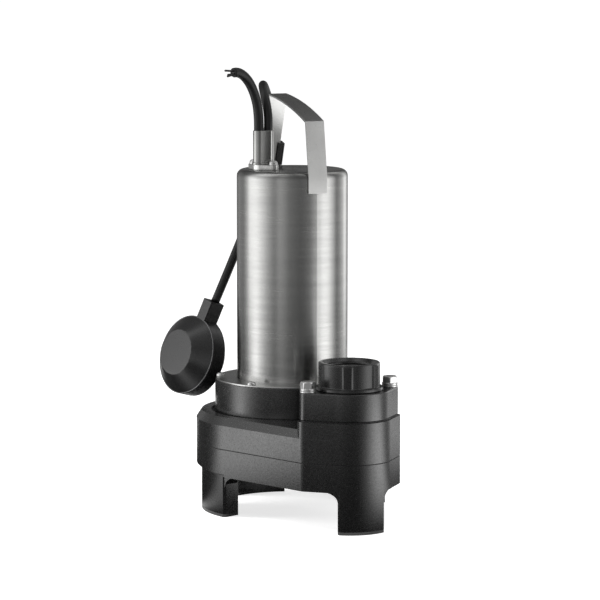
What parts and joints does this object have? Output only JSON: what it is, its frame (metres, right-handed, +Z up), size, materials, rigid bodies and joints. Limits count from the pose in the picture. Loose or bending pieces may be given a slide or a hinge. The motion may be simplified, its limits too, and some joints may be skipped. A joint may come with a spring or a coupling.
{
  "type": "submersible sewage pump",
  "caption": "Upright submersible sewage pump: steel motor can on a cast volute with legs, bolted threaded outlet, strap handle and a float switch on its cable.",
  "frame": {"origin": "on the floor under the middle of the object's length and width", "axes": "+Z up along the motor shaft, +X from the motor towards the discharge"},
  "size_m": [0.324, 0.2, 0.4594],
  "materials": {
    "stainless": "brushed",
    "zinc_steel": "bright zinc",
    "cast_iron": "fine black paint on cast iron",
    "black_plastic": "satin moulded",
    "black_rubber": "matt",
    "cable_rubber": "satin rubber sheath",
    "copper": "drawn",
    "core_steel": "ground",
    "pale_plastic": "moulded",
    "float_plastic": "fine matt",
    "carbon": "lapped"
  },
  "bodies": {
    "pump": {"motor_housing": "stainless", "housing_flange": "stainless", "flange_screws": "zinc_steel", "carry_handle": "stainless", "gland_flange": "stainless", "gland_sleeve": "stainless", "gland_grommet": "black_rubber", "gland_screws": "zinc_steel", "gland_backing_plate": "stainless", "capacitor": "pale_plastic", "terminal_block": "pale_plastic", "upper_bracket": "cast_iron", "upper_bearing": "core_steel", "stator_core": "core_steel", "stator_windings": "copper", "lower_bearing": "core_steel", "seal_chamber": "cast_iron", "housing_o_ring": "black_rubber", "lip_seal": "black_rubber", "seal_seat": "pale_plastic", "chamber_o_ring": "black_rubber", "volute_casing": "cast_iron", "casing_gasket": "black_rubber", "base_casing": "cast_iron", "casing_screws": "zinc_steel", "discharge_block": "cast_iron", "block_gasket": "black_rubber", "discharge_stub": "black_plastic", "discharge_bolts": "zinc_steel", "discharge_washers": "zinc_steel", "cable_clip": "black_plastic", "power_cable": "cable_rubber", "power_cable_cores": "cable_rubber", "float_cable_fixed": "cable_rubber"},
    "rotor": {"shaft": "core_steel", "rotor_core": "core_steel", "impeller": "cast_iron", "impeller_key": "zinc_steel", "impeller_washer": "zinc_steel", "impeller_nut": "zinc_steel", "seal_face": "carbon", "seal_spring": "zinc_steel"},
    "float": {"float_cable_free": "cable_rubber", "float_front_shell": "float_plastic", "float_back_shell": "float_plastic", "float_neck": "float_plastic", "float_switch": "pale_plastic", "float_ball": "core_steel"}
  },
  "joints": [
    {"name": "rotor_spin", "type": "hinge", "parent": "pump", "child": "rotor", "pos_m": [-0.01726, 0, 0.2], "axis": [0, 0, 1], "continuous": true},
    {"name": "float_swing", "type": "hinge", "parent": "pump", "child": "float", "pos_m": [-0.08806, 0.0062, 0.345], "axis": [-0.944, 0.33, 0], "range_deg": [0, 90]}
  ]
}
